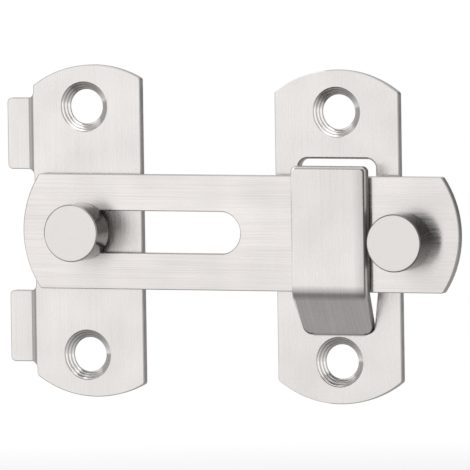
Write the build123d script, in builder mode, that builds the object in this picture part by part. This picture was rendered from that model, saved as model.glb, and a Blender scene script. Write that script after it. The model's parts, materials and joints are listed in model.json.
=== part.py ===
"""Flip latch: a slotted bar that turns and slides on a headed stud and drops behind a hook.

Frame: X runs from the pivot to the keeper, Z is up and -Y is the front.
The origin is on the pivot axis, midway between the pivot plate's screw holes, at that plate's back.
Levels in front of the origin plane are called heights, in millimetres.
"""

import os
from math import atan2, sqrt, tan

from build123d import *

# Sheet metal that both plates are folded from
sheet = 1.5
edge_break = 0.15
corner_radius = 0.6

# Plates, alike in height and in their screw holes
plate_height = 57.8
end_radius = 18.5
hole_inset = 7.3
hole_radius = 3.0
countersink_radius = 4.4
countersink_angle = 90

# Pivot plate and the two ears that are joggled back to the wall
pivot_plate_width = 20.1
pivot_plate_x = 0.5
pivot_arc_shift = 1.0
ear_reach = 5.4
ear_width = 12.4
ear_shoulder = 2.24
ear_corner_radius = 0.8
ear_root_radius = 1.2
joggle = 1.2
joggle_run = 0.45
joggle_overlap = 0.3
joggle_bend_radius = 0.9

# Latch bar
bar_sheet = 1.5
bar_width = 20.0
bar_end_radius = 17.5
bar_head = 11.1
bar_tail = 10.1
bar_corner_radius = 0.6
slot_width = 7.3
slot_length = 33.2

# Stud and knob, turned with the same head
head_radius = 5.0
head_height = 5.2
head_break = 0.2
knob_drop = 1.1
pivot_radius = 2.5
stud_tail_radius = 3.6
stud_tail_height = 0.9
rivet_radius = 2.0
rivet_tail_radius = 3.0
rivet_tail_height = 0.6
tail_break = 0.35

# Keeper plate and the hook lanced out of its window
keeper_x = 46.6
keeper_drop = 0.7
hook_width = 14.0
hook_root_width = 12.5
hook_margin = 4.45
hook_top_z = 11.8
hook_corner_radius = 1.0
hook_root_radius = 1.5
hook_leg_run = 6.8
hook_bend_radius = 1.7
hook_seat = 0.5
hook_anchor = 2.0
lance_gap = 0.1
window_top_gap = 1.0
window_round = 0.4
hook_round = 0.65
knob_gap = 1.3

# Clearances between pieces
bar_clearance = 0.1
head_clearance = 0.2
hook_clearance = 0.3
slot_clearance = 0.2
pivot_clearance = 0.05
shoulder_clearance = 0.05
rivet_clearance = 0.02

# Slack for picking corners by their place
pick_slack = 0.05

# Heights in front of the origin plane, stacked from the sizes above
bar_back = sheet + bar_clearance
bar_front = bar_back + bar_sheet
stud_head_back = bar_front + head_clearance
hook_back = bar_front + hook_clearance
keeper_back = -joggle

# Places that follow from the sizes above
hole_spacing = plate_height - 2 * hole_inset
keeper_width = hook_width + 2 * hook_margin
knob_x = keeper_x + hook_width / 2 + knob_gap + head_radius
bar_left = -bar_head
bar_length = bar_head + knob_x + bar_tail
shank_radius = slot_width / 2 - slot_clearance
slot_left = -slot_width / 2
joggle_angle = atan2(joggle, joggle_run)
joggle_tangent = joggle_bend_radius * tan(joggle_angle / 2)
plate_left = pivot_plate_x - pivot_plate_width / 2
joggle_x = plate_left + joggle_overlap - joggle_tangent
ear_left = plate_left - ear_reach
arc_reach = pivot_plate_width / 2 + pivot_arc_shift
plate_corner_z = plate_height / 2 - end_radius + sqrt(end_radius**2 - arc_reach**2)
ear_outer_z = plate_corner_z - ear_shoulder
ear_spacing = 2 * ear_outer_z - ear_width
hook_bend_z = -bar_width / 2 - hook_seat
hook_root_z = hook_bend_z - hook_leg_run
hook_length = hook_top_z - hook_root_z
window_length = hook_length + window_top_gap


def plate_outline(width, arc_shift=0):
    """Draw a plate of this width whose top and bottom are arcs, set off its middle by the shift."""
    with Locations((arc_shift, 0)):
        SlotOverall(plate_height, 2 * end_radius, rotation=90)
    Rectangle(width, plate_height, mode=Mode.INTERSECT)


def front_rim(part):
    """Pick the edges round the skin that faces the front, leaving out the bend lines in it."""
    skin = part.faces().filter_by(lambda face: face.normal_at().Y < -pick_slack)
    return skin.edges().filter_by(lambda edge: sum(edge in face.edges() for face in skin) == 1)


def lance_corners(margin, length):
    """Corners of an outline this far outside the hook: narrow at the root and full width above the bend."""
    root = hook_root_width / 2 + margin
    side = hook_width / 2 + margin
    top_z = hook_root_z + length
    return [
        (keeper_x - root, hook_root_z),
        (keeper_x + root, hook_root_z),
        (keeper_x + side, hook_bend_z),
        (keeper_x + side, top_z),
        (keeper_x - side, top_z),
        (keeper_x - side, hook_bend_z),
    ]


def screw_holes(front, centre):
    """Sink the two screw holes of a plate from its front plane, about this centre on it."""
    with Locations(front):
        with Locations(centre):
            with GridLocations(0, hole_spacing, 1, 2):
                CounterSinkHole(hole_radius, countersink_radius, counter_sink_angle=countersink_angle)


# Pivot plate: a section with the joggle in it, trimmed to the outline of plate and ears
with BuildPart() as pivot_plate:
    with BuildSketch(Plane.XY):
        with BuildLine():
            FilletPolyline(
                (pivot_plate_width, -sheet / 2),
                (joggle_x, -sheet / 2),
                (joggle_x - joggle_run, joggle - sheet / 2),
                (2 * ear_left, joggle - sheet / 2),
                radius=joggle_bend_radius,
            )
            offset(amount=sheet / 2, side=Side.BOTH)
        make_face()
    extrude(amount=plate_height, both=True)
    with BuildSketch(Plane.XZ) as pivot_blank:
        with Locations((pivot_plate_x, 0)):
            plate_outline(pivot_plate_width, pivot_arc_shift)
        fillet(pivot_blank.vertices(), corner_radius)
        with GridLocations(0, ear_spacing, 1, 2):
            with Locations((ear_left / 2, 0)):
                Rectangle(-ear_left, ear_width)
        fillet(pivot_blank.vertices().group_by(Axis.X)[0], ear_corner_radius)
        left_edge = pivot_blank.vertices().filter_by_position(
            Axis.X, plate_left - pick_slack, plate_left + pick_slack
        )
        ear_roots = left_edge.filter_by_position(Axis.Y, -ear_outer_z - pick_slack, ear_outer_z + pick_slack)
        fillet(ear_roots, ear_root_radius)
    extrude(amount=plate_height, both=True, mode=Mode.INTERSECT)
    chamfer(front_rim(pivot_plate.part), edge_break)
    screw_holes(Plane.XZ.offset(sheet), (0, 0))
    with Locations(Plane.XZ.offset(sheet)):
        Hole(pivot_radius + pivot_clearance)


# Pivot stud: head, shank that fills the slot, neck through the plate and peened tail
with BuildPart() as pivot_stud:
    with BuildSketch(Plane.XY):
        with BuildLine():
            Polyline(
                (0, -stud_head_back - head_height),
                (head_radius, -stud_head_back - head_height),
                (head_radius, -stud_head_back),
                (shank_radius, -stud_head_back),
                (shank_radius, -sheet - shoulder_clearance),
                (pivot_radius, -sheet - shoulder_clearance),
                (pivot_radius, shoulder_clearance),
                (stud_tail_radius, shoulder_clearance),
                (stud_tail_radius, shoulder_clearance + stud_tail_height),
                (0, shoulder_clearance + stud_tail_height),
                close=True,
            )
        make_face()
    revolve(axis=Axis.Y)
    chamfer(pivot_stud.edges().sort_by(Axis.Y)[0], head_break)
    chamfer(pivot_stud.edges().sort_by(Axis.Y)[-1], tail_break)


# Latch bar: arc ends, a slot for the stud and a hole for the knob's rivet
with BuildPart() as latch_bar:
    with BuildSketch(Plane.XZ.offset(bar_back)) as bar_blank:
        with Locations((bar_left + bar_length / 2, 0)):
            SlotOverall(bar_length, 2 * bar_end_radius)
            Rectangle(bar_length, bar_width, mode=Mode.INTERSECT)
        fillet(bar_blank.vertices(), bar_corner_radius)
        with Locations((slot_left + slot_length / 2, 0)):
            SlotOverall(slot_length, slot_width, mode=Mode.SUBTRACT)
    extrude(amount=bar_sheet)
    chamfer(latch_bar.faces().sort_by(Axis.Y)[0].edges(), edge_break)
    with Locations(Plane.XZ.offset(bar_front)):
        with Locations((knob_x, -knob_drop)):
            Hole(rivet_radius + rivet_clearance)


# Pull knob: the stud's head again, riveted through the bar a little below its middle
with BuildPart() as pull_knob:
    with BuildSketch(Plane.XY.offset(-knob_drop)):
        with BuildLine():
            Polyline(
                (knob_x, -bar_front - head_height),
                (knob_x + head_radius, -bar_front - head_height),
                (knob_x + head_radius, -bar_front),
                (knob_x + rivet_radius, -bar_front),
                (knob_x + rivet_radius, -bar_back),
                (knob_x + rivet_tail_radius, -bar_back),
                (knob_x + rivet_tail_radius, rivet_tail_height - bar_back),
                (knob_x, rivet_tail_height - bar_back),
                close=True,
            )
        make_face()
    revolve(axis=Axis((knob_x, 0, -knob_drop), (0, 1, 0)))
    chamfer(pull_knob.edges().sort_by(Axis.Y)[0], head_break)
    chamfer(pull_knob.edges().sort_by(Axis.Y)[-1], tail_break)


# Hook: the tongue's section, from inside the plate up the leg to the free end, trimmed in plan
with BuildPart() as hook:
    with BuildSketch(Plane.YZ.offset(keeper_x)):
        with BuildLine():
            FilletPolyline(
                (-keeper_back - sheet / 2, hook_root_z - 2 * hook_anchor),
                (-keeper_back - sheet / 2, hook_root_z),
                (-hook_back - sheet / 2, hook_bend_z),
                (-hook_back - sheet / 2, 2 * hook_top_z),
                radius=hook_bend_radius,
            )
            offset(amount=sheet / 2, side=Side.BOTH)
        make_face()
    extrude(amount=hook_width, both=True)
    with BuildSketch(Plane.XZ) as hook_blank:
        with Locations((keeper_x, hook_top_z)):
            Rectangle(hook_width, hook_length + hook_anchor, align=(Align.CENTER, Align.MAX))
        fillet(hook_blank.vertices().group_by(Axis.Y)[-1], hook_corner_radius)
    extrude(amount=plate_height, both=True, mode=Mode.INTERSECT)
    fillet(front_rim(hook.part), hook_round)
    with BuildSketch(Plane.XZ):
        with BuildLine():
            FilletPolyline(*lance_corners(0, 2 * hook_length), radius=hook_root_radius, close=True)
        make_face()
        with Locations((keeper_x, hook_root_z)):
            Rectangle(hook_root_width - 2 * hook_root_radius, 2 * hook_anchor)
    extrude(amount=plate_height, both=True, mode=Mode.INTERSECT)


# Keeper plate: the plate with its window, the hook and the screw holes
with BuildPart() as keeper_plate:
    with BuildSketch(Plane.XZ.offset(keeper_back)) as keeper_blank:
        with Locations((keeper_x, -keeper_drop)):
            plate_outline(keeper_width)
        fillet(keeper_blank.vertices(), corner_radius)
        with BuildLine():
            FilletPolyline(
                *lance_corners(lance_gap, window_length),
                radius=hook_root_radius + lance_gap,
                close=True,
            )
        make_face(mode=Mode.SUBTRACT)
    extrude(amount=sheet)
    keeper_face = keeper_plate.faces().sort_by(Axis.Y)[0]
    chamfer(keeper_face.outer_wire().edges(), edge_break)
    window_face = keeper_plate.faces().sort_by(Axis.Y)[0]
    fillet(window_face.inner_wires()[0].edges(), window_round)
    add(hook.part)
    screw_holes(Plane.XZ.offset(keeper_back + sheet), (keeper_x, -keeper_drop))


os.makedirs("parts", exist_ok=True)
pivot_plate.part.label = "pivot_plate"
export_step(pivot_plate.part, "parts/pivot_plate.step")
pivot_stud.part.label = "pivot_stud"
export_step(pivot_stud.part, "parts/pivot_stud.step")
latch_bar.part.label = "latch_bar"
export_step(latch_bar.part, "parts/latch_bar.step")
pull_knob.part.label = "pull_knob"
export_step(pull_knob.part, "parts/pull_knob.step")
keeper_plate.part.label = "keeper_plate"
export_step(keeper_plate.part, "parts/keeper_plate.step")
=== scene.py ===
import json
from math import cos, pi, radians, sin

import bpy
from mathutils import Matrix, Vector


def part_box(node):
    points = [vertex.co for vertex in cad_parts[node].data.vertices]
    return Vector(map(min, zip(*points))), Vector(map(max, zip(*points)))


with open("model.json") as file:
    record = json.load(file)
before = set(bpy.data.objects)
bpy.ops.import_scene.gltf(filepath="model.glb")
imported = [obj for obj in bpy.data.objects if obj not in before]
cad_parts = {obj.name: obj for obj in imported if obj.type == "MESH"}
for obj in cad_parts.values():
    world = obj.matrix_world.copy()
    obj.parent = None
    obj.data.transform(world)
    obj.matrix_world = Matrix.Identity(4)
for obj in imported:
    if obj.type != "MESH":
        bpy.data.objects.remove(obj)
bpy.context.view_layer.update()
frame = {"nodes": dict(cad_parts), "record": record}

# Lengths are in metres, angles in degrees, and sizes in the photograph in pixels
MM = 0.001
UPRIGHT = Vector((0, 0, 1))
SIDEWAYS = Vector((1, 0, 0))

# The photograph's camera
PHOTO_SIDE = 470
PIXELS_PER_METRE = 5779.3
CAMERA_AZIMUTH = 21.98
CAMERA_ELEVATION = 3.71
CAMERA_ROLL = -0.833
CAMERA_DISTANCE = 2.0
CAMERA_TARGET = Vector((27.357, 0, -0.540)) * MM
SENSOR = 36.0
CLIP_END = 10

# The steel of the sheets and of the two turned heads, with painted shade on the heads' sides
PLATE_COLOUR = (0.88, 0.846, 0.824)
PLATE_ROUGHNESS = 0.28
PLATE_ANISOTROPY = 0.7
BAR_COLOUR = (0.825, 0.787, 0.765)
BAR_ROUGHNESS = 0.24
BAR_ANISOTROPY = 0.8
TURNED_COLOUR = (0.825, 0.794, 0.77)
STUD_SIDE_PAINTED_SHADE = 0.36
KNOB_SIDE_PAINTED_SHADE = 0.17

# Range that holds nearly all values of a noise
NOISE_LOW = 0.3
NOISE_HIGH = 0.7

# Brush lines, fine and in bands, and the soft clouds under them
FINE_WIDTH = 0.22 * MM
FINE_LENGTH = 24 * MM
FINE_SHADE = 0.07
FINE_ROUGHNESS = 0.05
BAND_WIDTH = 1.6 * MM
BAND_LENGTH = 45 * MM
BAND_SHADE = 0.035
BAND_ROUGHNESS = 0.03
CLOUD_SIZE = 9 * MM
CLOUD_DETAIL = 1.0
CLOUD_DARKEST = 0.96
CLOUD_LIGHTEST = 1.05
BRUSH_BUMP = 0.25
BUMP_DEPTH = 0.02 * MM

# How much a sheet faces the front or back, from 0 to 1: less on cut edges, then on the leg, bends and flats
CUT_EDGE_FACING = 0.55
LEG_FACING = 0.83
BENT_FACING = 0.97
FLAT_FACING = 0.995

# Painted shades of the same places, standing in for the darker surroundings that they mirror
PAINTED_CUT_EDGE_SHADE = 0.4
CUT_EDGE_ROUGHNESS = 0.4
PAINTED_LEG_SHADE = 0.56
PAINTED_BEND_SHADE = 0.34

# Rims of the keeper are spared the painted bend shade where they face left, with a normal whose X is this or
# less
LIT_RIM_FACING = -0.1

# Painted shade bands on the hook's front face, and the depths behind it between which they fade out
FOLD_BAND = 1.5 * MM
PAINTED_FOLD_SHADE = 0.34
RIM_BAND = 2.0 * MM
PAINTED_RIM_SHADE = 0.72
FADE_START = 0.1 * MM
FADE_END = 0.6 * MM

# Points no further than this behind the hook's front lie on its front face
FACE_TOLERANCE = 0.02 * MM

# Countersinks: cutter marks with flat crests, and painted shade on the upper side, where the cone faces down
COUNTERSINK_RADIUS = 4.4 * MM
RING_WIDTH = 0.42 * MM
RING_CREST = 0.4
RING_HEIGHT = 2.5
RING_SHADES = (0.62, 1.12)
RING_ROUGHNESSES = (0.28, 0.16)
UNDER_FACING = -0.6
UNDER_END_FACING = -0.1
PAINTED_UNDER_SHADE = 0.45

# Turned heads: where the face ends and the side begins, fine rings on both, and a satin grain
TURNED_FACE_FACING = 0.9
TURNING_WIDTH = 0.12 * MM
TURNING_SHADE = 0.02
TURNED_BUMP = 0.12
GRAINS_PER_METRE = 9000
GRAIN_SHADE = 0.01
SATIN_ROUGHNESSES = (0.27, 0.31)
SHINY_ROUGHNESSES = (0.12, 0.2)

# The studio: light from all round, and a floor that fades into the white backdrop
LIGHT_LEVEL = 0.7
WHITE_LEVEL = 1.0
WHITE = (1, 1, 1, 1)
FLOOR_COLOUR = (0.82, 0.82, 0.82, 1)
FLOOR_SIDES = 96
FLOOR_RADIUS = 0.6
FLOOR_CENTRE = 27 * MM
FLOOR_FADE_START = 0.15
FLOOR_FADE_END = 0.45

# Room between the floor and the bar when it hangs straight down
FLOOR_GAP = 4 * MM

# How far the backdrop panels stand from the object
PANEL_DISTANCE = 0.5


def direction(azimuth, elevation):
    """Unit vector from the object towards a viewer at these angles."""
    a = radians(azimuth)
    e = radians(elevation)
    return Vector((sin(a) * cos(e), -cos(a) * cos(e), sin(e)))


def add_node(tree, kind, inputs=None, **settings):
    """Add a node, set its options, and give its inputs a value or a link."""
    node = tree.nodes.new(kind)
    for name, value in settings.items():
        setattr(node, name, value)
    for name, value in (inputs or {}).items():
        if isinstance(value, bpy.types.NodeSocket):
            tree.links.new(value, node.inputs[name])
        else:
            node.inputs[name].default_value = value
    return node


def calc(tree, operation, *values):
    """Output of a math node."""
    return add_node(tree, "ShaderNodeMath", dict(enumerate(values)), operation=operation).outputs[0]


def vector_calc(tree, operation, *values):
    """Vector output of a vector math node."""
    node = add_node(tree, "ShaderNodeVectorMath", dict(enumerate(values)), operation=operation)
    return node.outputs["Vector"]


def vector_length(tree, vector):
    """Length of a vector."""
    return add_node(tree, "ShaderNodeVectorMath", {0: vector}, operation="LENGTH").outputs["Value"]


def split(tree, vector):
    """X, Y and Z of a vector."""
    return add_node(tree, "ShaderNodeSeparateXYZ", {"Vector": vector}).outputs


def grey(tree, value):
    """Vector with that value in all three places."""
    return add_node(tree, "ShaderNodeCombineXYZ", {"X": value, "Y": value, "Z": value}).outputs["Vector"]


def remap(tree, value, low, high, to_low, to_high):
    """Value moved from one range to another, and held inside it."""
    node = add_node(
        tree,
        "ShaderNodeMapRange",
        {"Value": value, "From Min": low, "From Max": high, "To Min": to_low, "To Max": to_high},
    )
    return node.outputs["Result"]


def blend_values(tree, factor, first, second):
    """Number between two numbers."""
    node = add_node(tree, "ShaderNodeMix", {"Factor": factor, "A": first, "B": second}, data_type="FLOAT")
    return node.outputs["Result"]


def noise(tree, vector, detail=3.0, roughness=0.6):
    """Noise that is one unit of the vector wide."""
    node = add_node(
        tree,
        "ShaderNodeTexNoise",
        {"Vector": vector, "Scale": 1.0, "Detail": detail, "Roughness": roughness},
    )
    return node.outputs["Fac"]


def spread(tree, value, low, high):
    """Noise moved from its own range to another."""
    return remap(tree, value, NOISE_LOW, NOISE_HIGH, low, high)


def object_place(tree):
    """Place of a surface point on the piece itself."""
    return add_node(tree, "ShaderNodeTexCoord").outputs["Object"]


def surface_normal(tree):
    """X, Y and Z of the surface's normal on the piece itself."""
    return split(tree, add_node(tree, "ShaderNodeTexCoord").outputs["Normal"])


def facing_front(tree):
    """1 where the surface faces straight to the front or back, and 0 where it faces sideways."""
    return calc(tree, "ABSOLUTE", surface_normal(tree)["Y"])


def new_material(name):
    """Empty node material, its tree and its surface socket."""
    material = bpy.data.materials.new(name)
    material.use_nodes = True
    tree = material.node_tree
    tree.nodes.clear()
    output = tree.nodes.new("ShaderNodeOutputMaterial")
    return material, tree, output.inputs["Surface"]


def bumped_normal(tree, strength, height):
    """Normal of a surface with that height."""
    bump = add_node(tree, "ShaderNodeBump", {"Strength": strength, "Distance": BUMP_DEPTH, "Height": height})
    return bump.outputs["Normal"]


def add_steel(tree, surface, colour, shade, inputs):
    """Give a material's surface a metal of that colour and shade, with the shader's other inputs."""
    base = vector_calc(tree, "MULTIPLY", colour, grey(tree, shade))
    shader = add_node(tree, "ShaderNodeBsdfPrincipled", {"Base Color": base, "Metallic": 1.0, **inputs})
    tree.links.new(shader.outputs["BSDF"], surface)


def line_noise(tree, place, across, width, length):
    """Noise drawn out into lines of that width and length, square to the axis across them."""
    along = Vector((1, 1, 1)) - across
    scale = across / width + along / length
    return noise(tree, vector_calc(tree, "MULTIPLY", place, tuple(scale)))


def brush_lines(tree, place, across, roughness):
    """Shade, roughness and height of brush lines square to an axis."""
    fine = line_noise(tree, place, across, FINE_WIDTH, FINE_LENGTH)
    band = line_noise(tree, place, across, BAND_WIDTH, BAND_LENGTH)
    cloud = noise(tree, vector_calc(tree, "DIVIDE", place, (CLOUD_SIZE,) * 3), detail=CLOUD_DETAIL)
    fine_shade = spread(tree, fine, -FINE_SHADE, FINE_SHADE)
    band_shade = spread(tree, band, -BAND_SHADE, BAND_SHADE)
    cloud_shade = spread(tree, cloud, CLOUD_DARKEST, CLOUD_LIGHTEST)
    fine_rough = spread(tree, fine, roughness - FINE_ROUGHNESS, roughness + FINE_ROUGHNESS)
    band_rough = spread(tree, band, -BAND_ROUGHNESS, BAND_ROUGHNESS)
    shade = calc(tree, "ADD", calc(tree, "ADD", fine_shade, band_shade), cloud_shade)
    return shade, calc(tree, "ADD", fine_rough, band_rough), fine


def painted_bend_shade(tree, facing):
    """Painted shade that falls from the flat faces to the bends, and rises again to the sloped leg."""
    flat_side = remap(tree, facing, BENT_FACING, FLAT_FACING, PAINTED_BEND_SHADE, 1.0)
    leg_side = remap(tree, facing, LEG_FACING, BENT_FACING, PAINTED_LEG_SHADE, PAINTED_BEND_SHADE)
    return calc(tree, "MAXIMUM", flat_side, leg_side)


def hook_face():
    """Depth of the hook's front face, the height of the fold at its foot, and its right side."""
    points = [vertex.co for vertex in frame["nodes"]["keeper_plate"].data.vertices]
    front = min(point.y for point in points)
    face = [point for point in points if point.y < front + FACE_TOLERANCE]
    return front, min(point.z for point in face), max(point.x for point in face)


def hook_painted_bands(tree, place):
    """Painted shade bands on the hook's front face, down into its fold and towards its right rim."""
    front, fold, right = hook_face()
    at = split(tree, place)
    on_hook = remap(tree, at["Y"], front + FADE_START, front + FADE_END, 1.0, 0.0)
    painted_fold = remap(tree, at["Z"], fold, fold + FOLD_BAND, PAINTED_FOLD_SHADE, 1.0)
    painted_rim = remap(tree, at["X"], right - RIM_BAND, right, 1.0, PAINTED_RIM_SHADE)
    return blend_values(tree, on_hook, 1.0, calc(tree, "MULTIPLY", painted_fold, painted_rim))


def keeper_painted_shade(tree, place, painted_bend):
    """Painted shade of the keeper's bends, lifted on left-facing rims, with the hook's painted shade bands.
    """
    lit = remap(tree, surface_normal(tree)["X"], LIT_RIM_FACING, 0.0, 1.0, 0.0)
    return calc(tree, "MINIMUM", calc(tree, "MAXIMUM", painted_bend, lit), hook_painted_bands(tree, place))


def screw_hole_radius(tree, place, mount):
    """Distance from the axis of the nearer of a mount's two screw holes."""
    half_spacing = mount["dims"]["spacing_y_mm"] * MM / 2
    offset = vector_calc(tree, "ABSOLUTE", vector_calc(tree, "SUBTRACT", place, tuple(mount["pos_m"])))
    offset = vector_calc(tree, "SUBTRACT", offset, (0, 0, half_spacing))
    return vector_length(tree, vector_calc(tree, "MULTIPLY", offset, (1, 0, 1)))


def countersink_rings(tree, radius):
    """Cutter marks from 0 to 1 that only change with the radius, a little uneven."""
    turns = calc(tree, "DIVIDE", radius, RING_WIDTH)
    uneven = calc(tree, "ADD", turns, noise(tree, grey(tree, turns)))
    wave = calc(tree, "SINE", calc(tree, "MULTIPLY", uneven, 2 * pi))
    return remap(tree, wave, -1.0, RING_CREST, 0.0, 1.0)


def countersink(tree, place, facing, mount):
    """1 on the cones of a mount's countersinks, and the shade, roughness and height there."""
    radius = screw_hole_radius(tree, place, mount)
    sloped = calc(tree, "LESS_THAN", facing, FLAT_FACING)
    on_cone = calc(tree, "MULTIPLY", sloped, calc(tree, "LESS_THAN", radius, COUNTERSINK_RADIUS))
    rings = countersink_rings(tree, radius)
    # Painted shade on the cone's upper side, which faces down
    painted_under = remap(tree, surface_normal(tree)["Z"], UNDER_FACING, UNDER_END_FACING, PAINTED_UNDER_SHADE, 1.0)
    shade = calc(tree, "MULTIPLY", painted_under, remap(tree, rings, 0.0, 1.0, *RING_SHADES))
    rough = remap(tree, rings, 0.0, 1.0, *RING_ROUGHNESSES)
    return on_cone, shade, rough, calc(tree, "MULTIPLY", rings, RING_HEIGHT)


def brushed_steel(name, colour, across, roughness, anisotropy, mount=None, folded=False):
    """Sheet steel with brush lines square to an axis, and painted shade on its bends, leg and cut edges.

    A mount adds rings in its countersinks, and folded adds the painted shades of the keeper's hook.
    """
    material, tree, surface = new_material(name)
    place = object_place(tree)
    facing = facing_front(tree)
    shade, rough, height = brush_lines(tree, place, across, roughness)
    # Painted shade on the bends and the sloped leg, darker than the flat faces
    painted_bend = painted_bend_shade(tree, facing)
    if folded:
        painted_bend = keeper_painted_shade(tree, place, painted_bend)
    # Cut edges get a flat painted shade in place of the bend shade
    edge = calc(tree, "LESS_THAN", facing, CUT_EDGE_FACING)
    shade = blend_values(tree, edge, calc(tree, "MULTIPLY", shade, painted_bend), PAINTED_CUT_EDGE_SHADE)
    rough = blend_values(tree, edge, rough, CUT_EDGE_ROUGHNESS)
    if mount:
        on_cone, cone_shade, cone_rough, cone_height = countersink(tree, place, facing, mount)
        shade = blend_values(tree, on_cone, shade, cone_shade)
        rough = blend_values(tree, on_cone, rough, cone_rough)
        height = blend_values(tree, on_cone, height, cone_height)

    tangent = add_node(
        tree,
        "ShaderNodeVectorTransform",
        {"Vector": tuple(across)},
        vector_type="VECTOR",
        convert_from="OBJECT",
        convert_to="WORLD",
    )
    inputs = {
        "Roughness": rough,
        "Anisotropic": anisotropy,
        "Tangent": tangent.outputs["Vector"],
        "Normal": bumped_normal(tree, BRUSH_BUMP, height),
    }
    add_steel(tree, surface, colour, shade, inputs)
    return material


def turned_steel(name, colour, node, painted_side_shade):
    """Turned steel about a node's axis: rings on its face and round its side, which has painted shade."""
    material, tree, surface = new_material(name)
    low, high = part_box(node)
    place = object_place(tree)
    offset = vector_calc(tree, "SUBTRACT", place, tuple((low + high) / 2))
    radius = vector_length(tree, vector_calc(tree, "MULTIPLY", offset, (1, 0, 1)))
    ring_place = add_node(
        tree,
        "ShaderNodeCombineXYZ",
        {
            "X": calc(tree, "DIVIDE", radius, TURNING_WIDTH),
            "Y": calc(tree, "DIVIDE", split(tree, offset)["Y"], TURNING_WIDTH),
        },
    )
    rings = noise(tree, ring_place.outputs["Vector"])
    grain = noise(tree, vector_calc(tree, "MULTIPLY", place, (GRAINS_PER_METRE,) * 3))
    ring_shade = spread(tree, rings, -TURNING_SHADE, TURNING_SHADE)
    grain_shade = spread(tree, grain, 1 - GRAIN_SHADE, 1 + GRAIN_SHADE)
    face_shade = calc(tree, "ADD", ring_shade, grain_shade)
    on_face = calc(tree, "GREATER_THAN", facing_front(tree), TURNED_FACE_FACING)
    # The side's colour is darkened by its painted shade
    shade = blend_values(tree, on_face, calc(tree, "MULTIPLY", face_shade, painted_side_shade), face_shade)
    satin = spread(tree, grain, *SATIN_ROUGHNESSES)
    shiny = spread(tree, rings, *SHINY_ROUGHNESSES)
    inputs = {
        "Roughness": blend_values(tree, on_face, shiny, satin),
        "Normal": bumped_normal(tree, TURNED_BUMP, rings),
    }
    add_steel(tree, surface, colour, shade, inputs)
    return material


def backdrop_rays(tree):
    """1 for the rays that see the backdrop: straight from the camera, mirrored or through glass."""
    path = add_node(tree, "ShaderNodeLightPath").outputs
    seen = calc(tree, "MAXIMUM", path["Is Camera Ray"], path["Is Glossy Ray"])
    return calc(tree, "MAXIMUM", seen, path["Is Transmission Ray"])


def make_world():
    """White backdrop, with a plain level of light from all round."""
    world = bpy.data.worlds.new("studio")
    bpy.context.scene.world = world
    world.use_nodes = True
    tree = world.node_tree
    tree.nodes.clear()
    level = blend_values(tree, backdrop_rays(tree), LIGHT_LEVEL, WHITE_LEVEL)
    background = add_node(tree, "ShaderNodeBackground", {"Color": WHITE, "Strength": level})
    output = tree.nodes.new("ShaderNodeOutputWorld")
    tree.links.new(background.outputs["Background"], output.inputs["Surface"])


def make_floor(height):
    """Round pale floor that keeps the shadow and fades into the backdrop."""
    bpy.ops.mesh.primitive_circle_add(
        vertices=FLOOR_SIDES,
        radius=FLOOR_RADIUS,
        fill_type="NGON",
        location=(FLOOR_CENTRE, 0, height),
    )
    floor = bpy.context.object
    floor.name = "floor"
    material, tree, surface = new_material("pale_floor")
    reach = vector_length(tree, object_place(tree))
    faded = remap(tree, reach, FLOOR_FADE_START, FLOOR_FADE_END, 0.0, 1.0)
    glow = calc(tree, "MULTIPLY", backdrop_rays(tree), faded)
    matt = add_node(tree, "ShaderNodeBsdfDiffuse", {"Color": FLOOR_COLOUR})
    white = add_node(tree, "ShaderNodeEmission", {"Color": WHITE, "Strength": WHITE_LEVEL})
    mix = add_node(
        tree,
        "ShaderNodeMixShader",
        {0: glow, 1: matt.outputs["BSDF"], 2: white.outputs["Emission"]},
    )
    tree.links.new(mix.outputs["Shader"], surface)
    floor.data.materials.append(material)


def make_panel(name, azimuth, elevation, width, height, level):
    """Grey upright backdrop panel that stands outside the picture, for the steel to mirror."""
    place = CAMERA_TARGET + direction(azimuth, elevation) * PANEL_DISTANCE
    bpy.ops.mesh.primitive_plane_add(size=1, location=place, rotation=(radians(90), 0, radians(azimuth)))
    panel = bpy.context.object
    panel.name = name
    panel.scale = (width, height, 1)
    material, tree, surface = new_material(name + "_cloth")
    colour = (level, level, level, 1)
    cloth = add_node(tree, "ShaderNodeEmission", {"Color": colour, "Strength": WHITE_LEVEL})
    tree.links.new(cloth.outputs["Emission"], surface)
    panel.data.materials.append(material)
    panel.visible_camera = False
    panel.visible_diffuse = False
    panel.visible_shadow = False


def make_softbox(name, azimuth, elevation, distance, size, level):
    """Square area lamp that faces the object, as bright as that many white backdrops."""
    lamp = bpy.data.lights.new(name, "AREA")
    lamp.shape = "SQUARE"
    lamp.size = size
    lamp.energy = level * pi * size**2
    back = direction(azimuth, elevation)
    item = bpy.data.objects.new(name, lamp)
    item.location = back * distance + CAMERA_TARGET
    item.rotation_mode = "QUATERNION"
    item.rotation_quaternion = back.to_track_quat("Z", "Y")
    bpy.context.scene.collection.objects.link(item)


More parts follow.
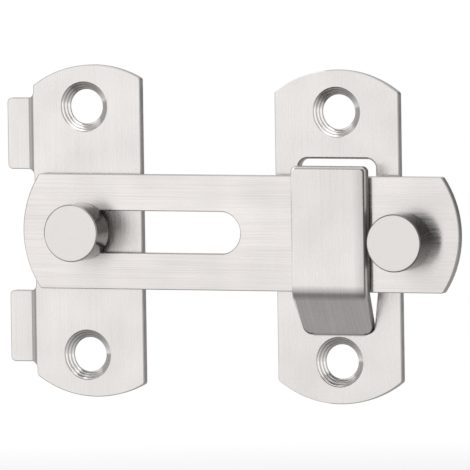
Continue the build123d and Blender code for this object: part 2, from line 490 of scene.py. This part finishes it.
def make_camera():
    """Long lens at the photograph's place, turned by its small roll."""
    data = bpy.data.cameras.new("photo_camera")
    data.sensor_width = SENSOR
    data.lens = PIXELS_PER_METRE * CAMERA_DISTANCE * SENSOR / PHOTO_SIDE
    data.clip_end = CLIP_END
    back = direction(CAMERA_AZIMUTH, CAMERA_ELEVATION)
    right = UPRIGHT.cross(back).normalized()
    up = back.cross(right)
    roll = radians(CAMERA_ROLL)
    columns = (right * cos(roll) + up * sin(roll), up * cos(roll) - right * sin(roll), back)
    place = Matrix.Translation(CAMERA_TARGET + back * CAMERA_DISTANCE)
    camera = bpy.data.objects.new("photo_camera", data)
    camera.matrix_world = place @ Matrix(columns).transposed().to_4x4()
    bpy.context.scene.collection.objects.link(camera)
    bpy.context.scene.camera = camera


# Finishes: the plates are brushed upright, and the bar lengthwise
mounts = {mount["name"]: mount for mount in frame["record"]["mounts"]}
plate_finish = (PLATE_COLOUR, SIDEWAYS, PLATE_ROUGHNESS, PLATE_ANISOTROPY)
bar_finish = (BAR_COLOUR, UPRIGHT, BAR_ROUGHNESS, BAR_ANISOTROPY)
pivot_screws = mounts["pivot_screws"]
keeper_screws = mounts["keeper_screws"]
finishes = {
    "pivot_plate": brushed_steel("brushed_pivot_plate", *plate_finish, pivot_screws),
    "keeper_plate": brushed_steel("brushed_keeper_plate", *plate_finish, keeper_screws, folded=True),
    "latch_bar": brushed_steel("brushed_bar", *bar_finish),
    "pivot_stud": turned_steel("turned_stud", TURNED_COLOUR, "pivot_stud", STUD_SIDE_PAINTED_SHADE),
    "pull_knob": turned_steel("turned_knob", TURNED_COLOUR, "pull_knob", KNOB_SIDE_PAINTED_SHADE),
}
for node_name, finish in finishes.items():
    frame["nodes"][node_name].material_slots[0].material = finish

# The floor lies below the bar's far end as it hangs from the pivot
bar_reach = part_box("latch_bar")[1].x
make_world()
make_floor(-bar_reach - FLOOR_GAP)
make_panel("camera_side_panel", azimuth=30, elevation=0, width=0.44, height=1.2, level=0.15)
make_panel("upper_panel", azimuth=8, elevation=36, width=0.3, height=0.4, level=0.2)
make_panel("left_rear_panel", azimuth=-125, elevation=0, width=0.5, height=0.5, level=0.35)
make_panel("right_rear_panel", azimuth=158, elevation=0, width=0.2, height=1.0, level=0.2)
make_softbox("front_softbox", azimuth=-40, elevation=30, distance=0.9, size=0.7, level=0.45)
make_softbox("top_softbox", azimuth=-10, elevation=80, distance=0.7, size=0.5, level=0.55)
make_camera()
bpy.context.scene.view_settings.view_transform = "Standard"
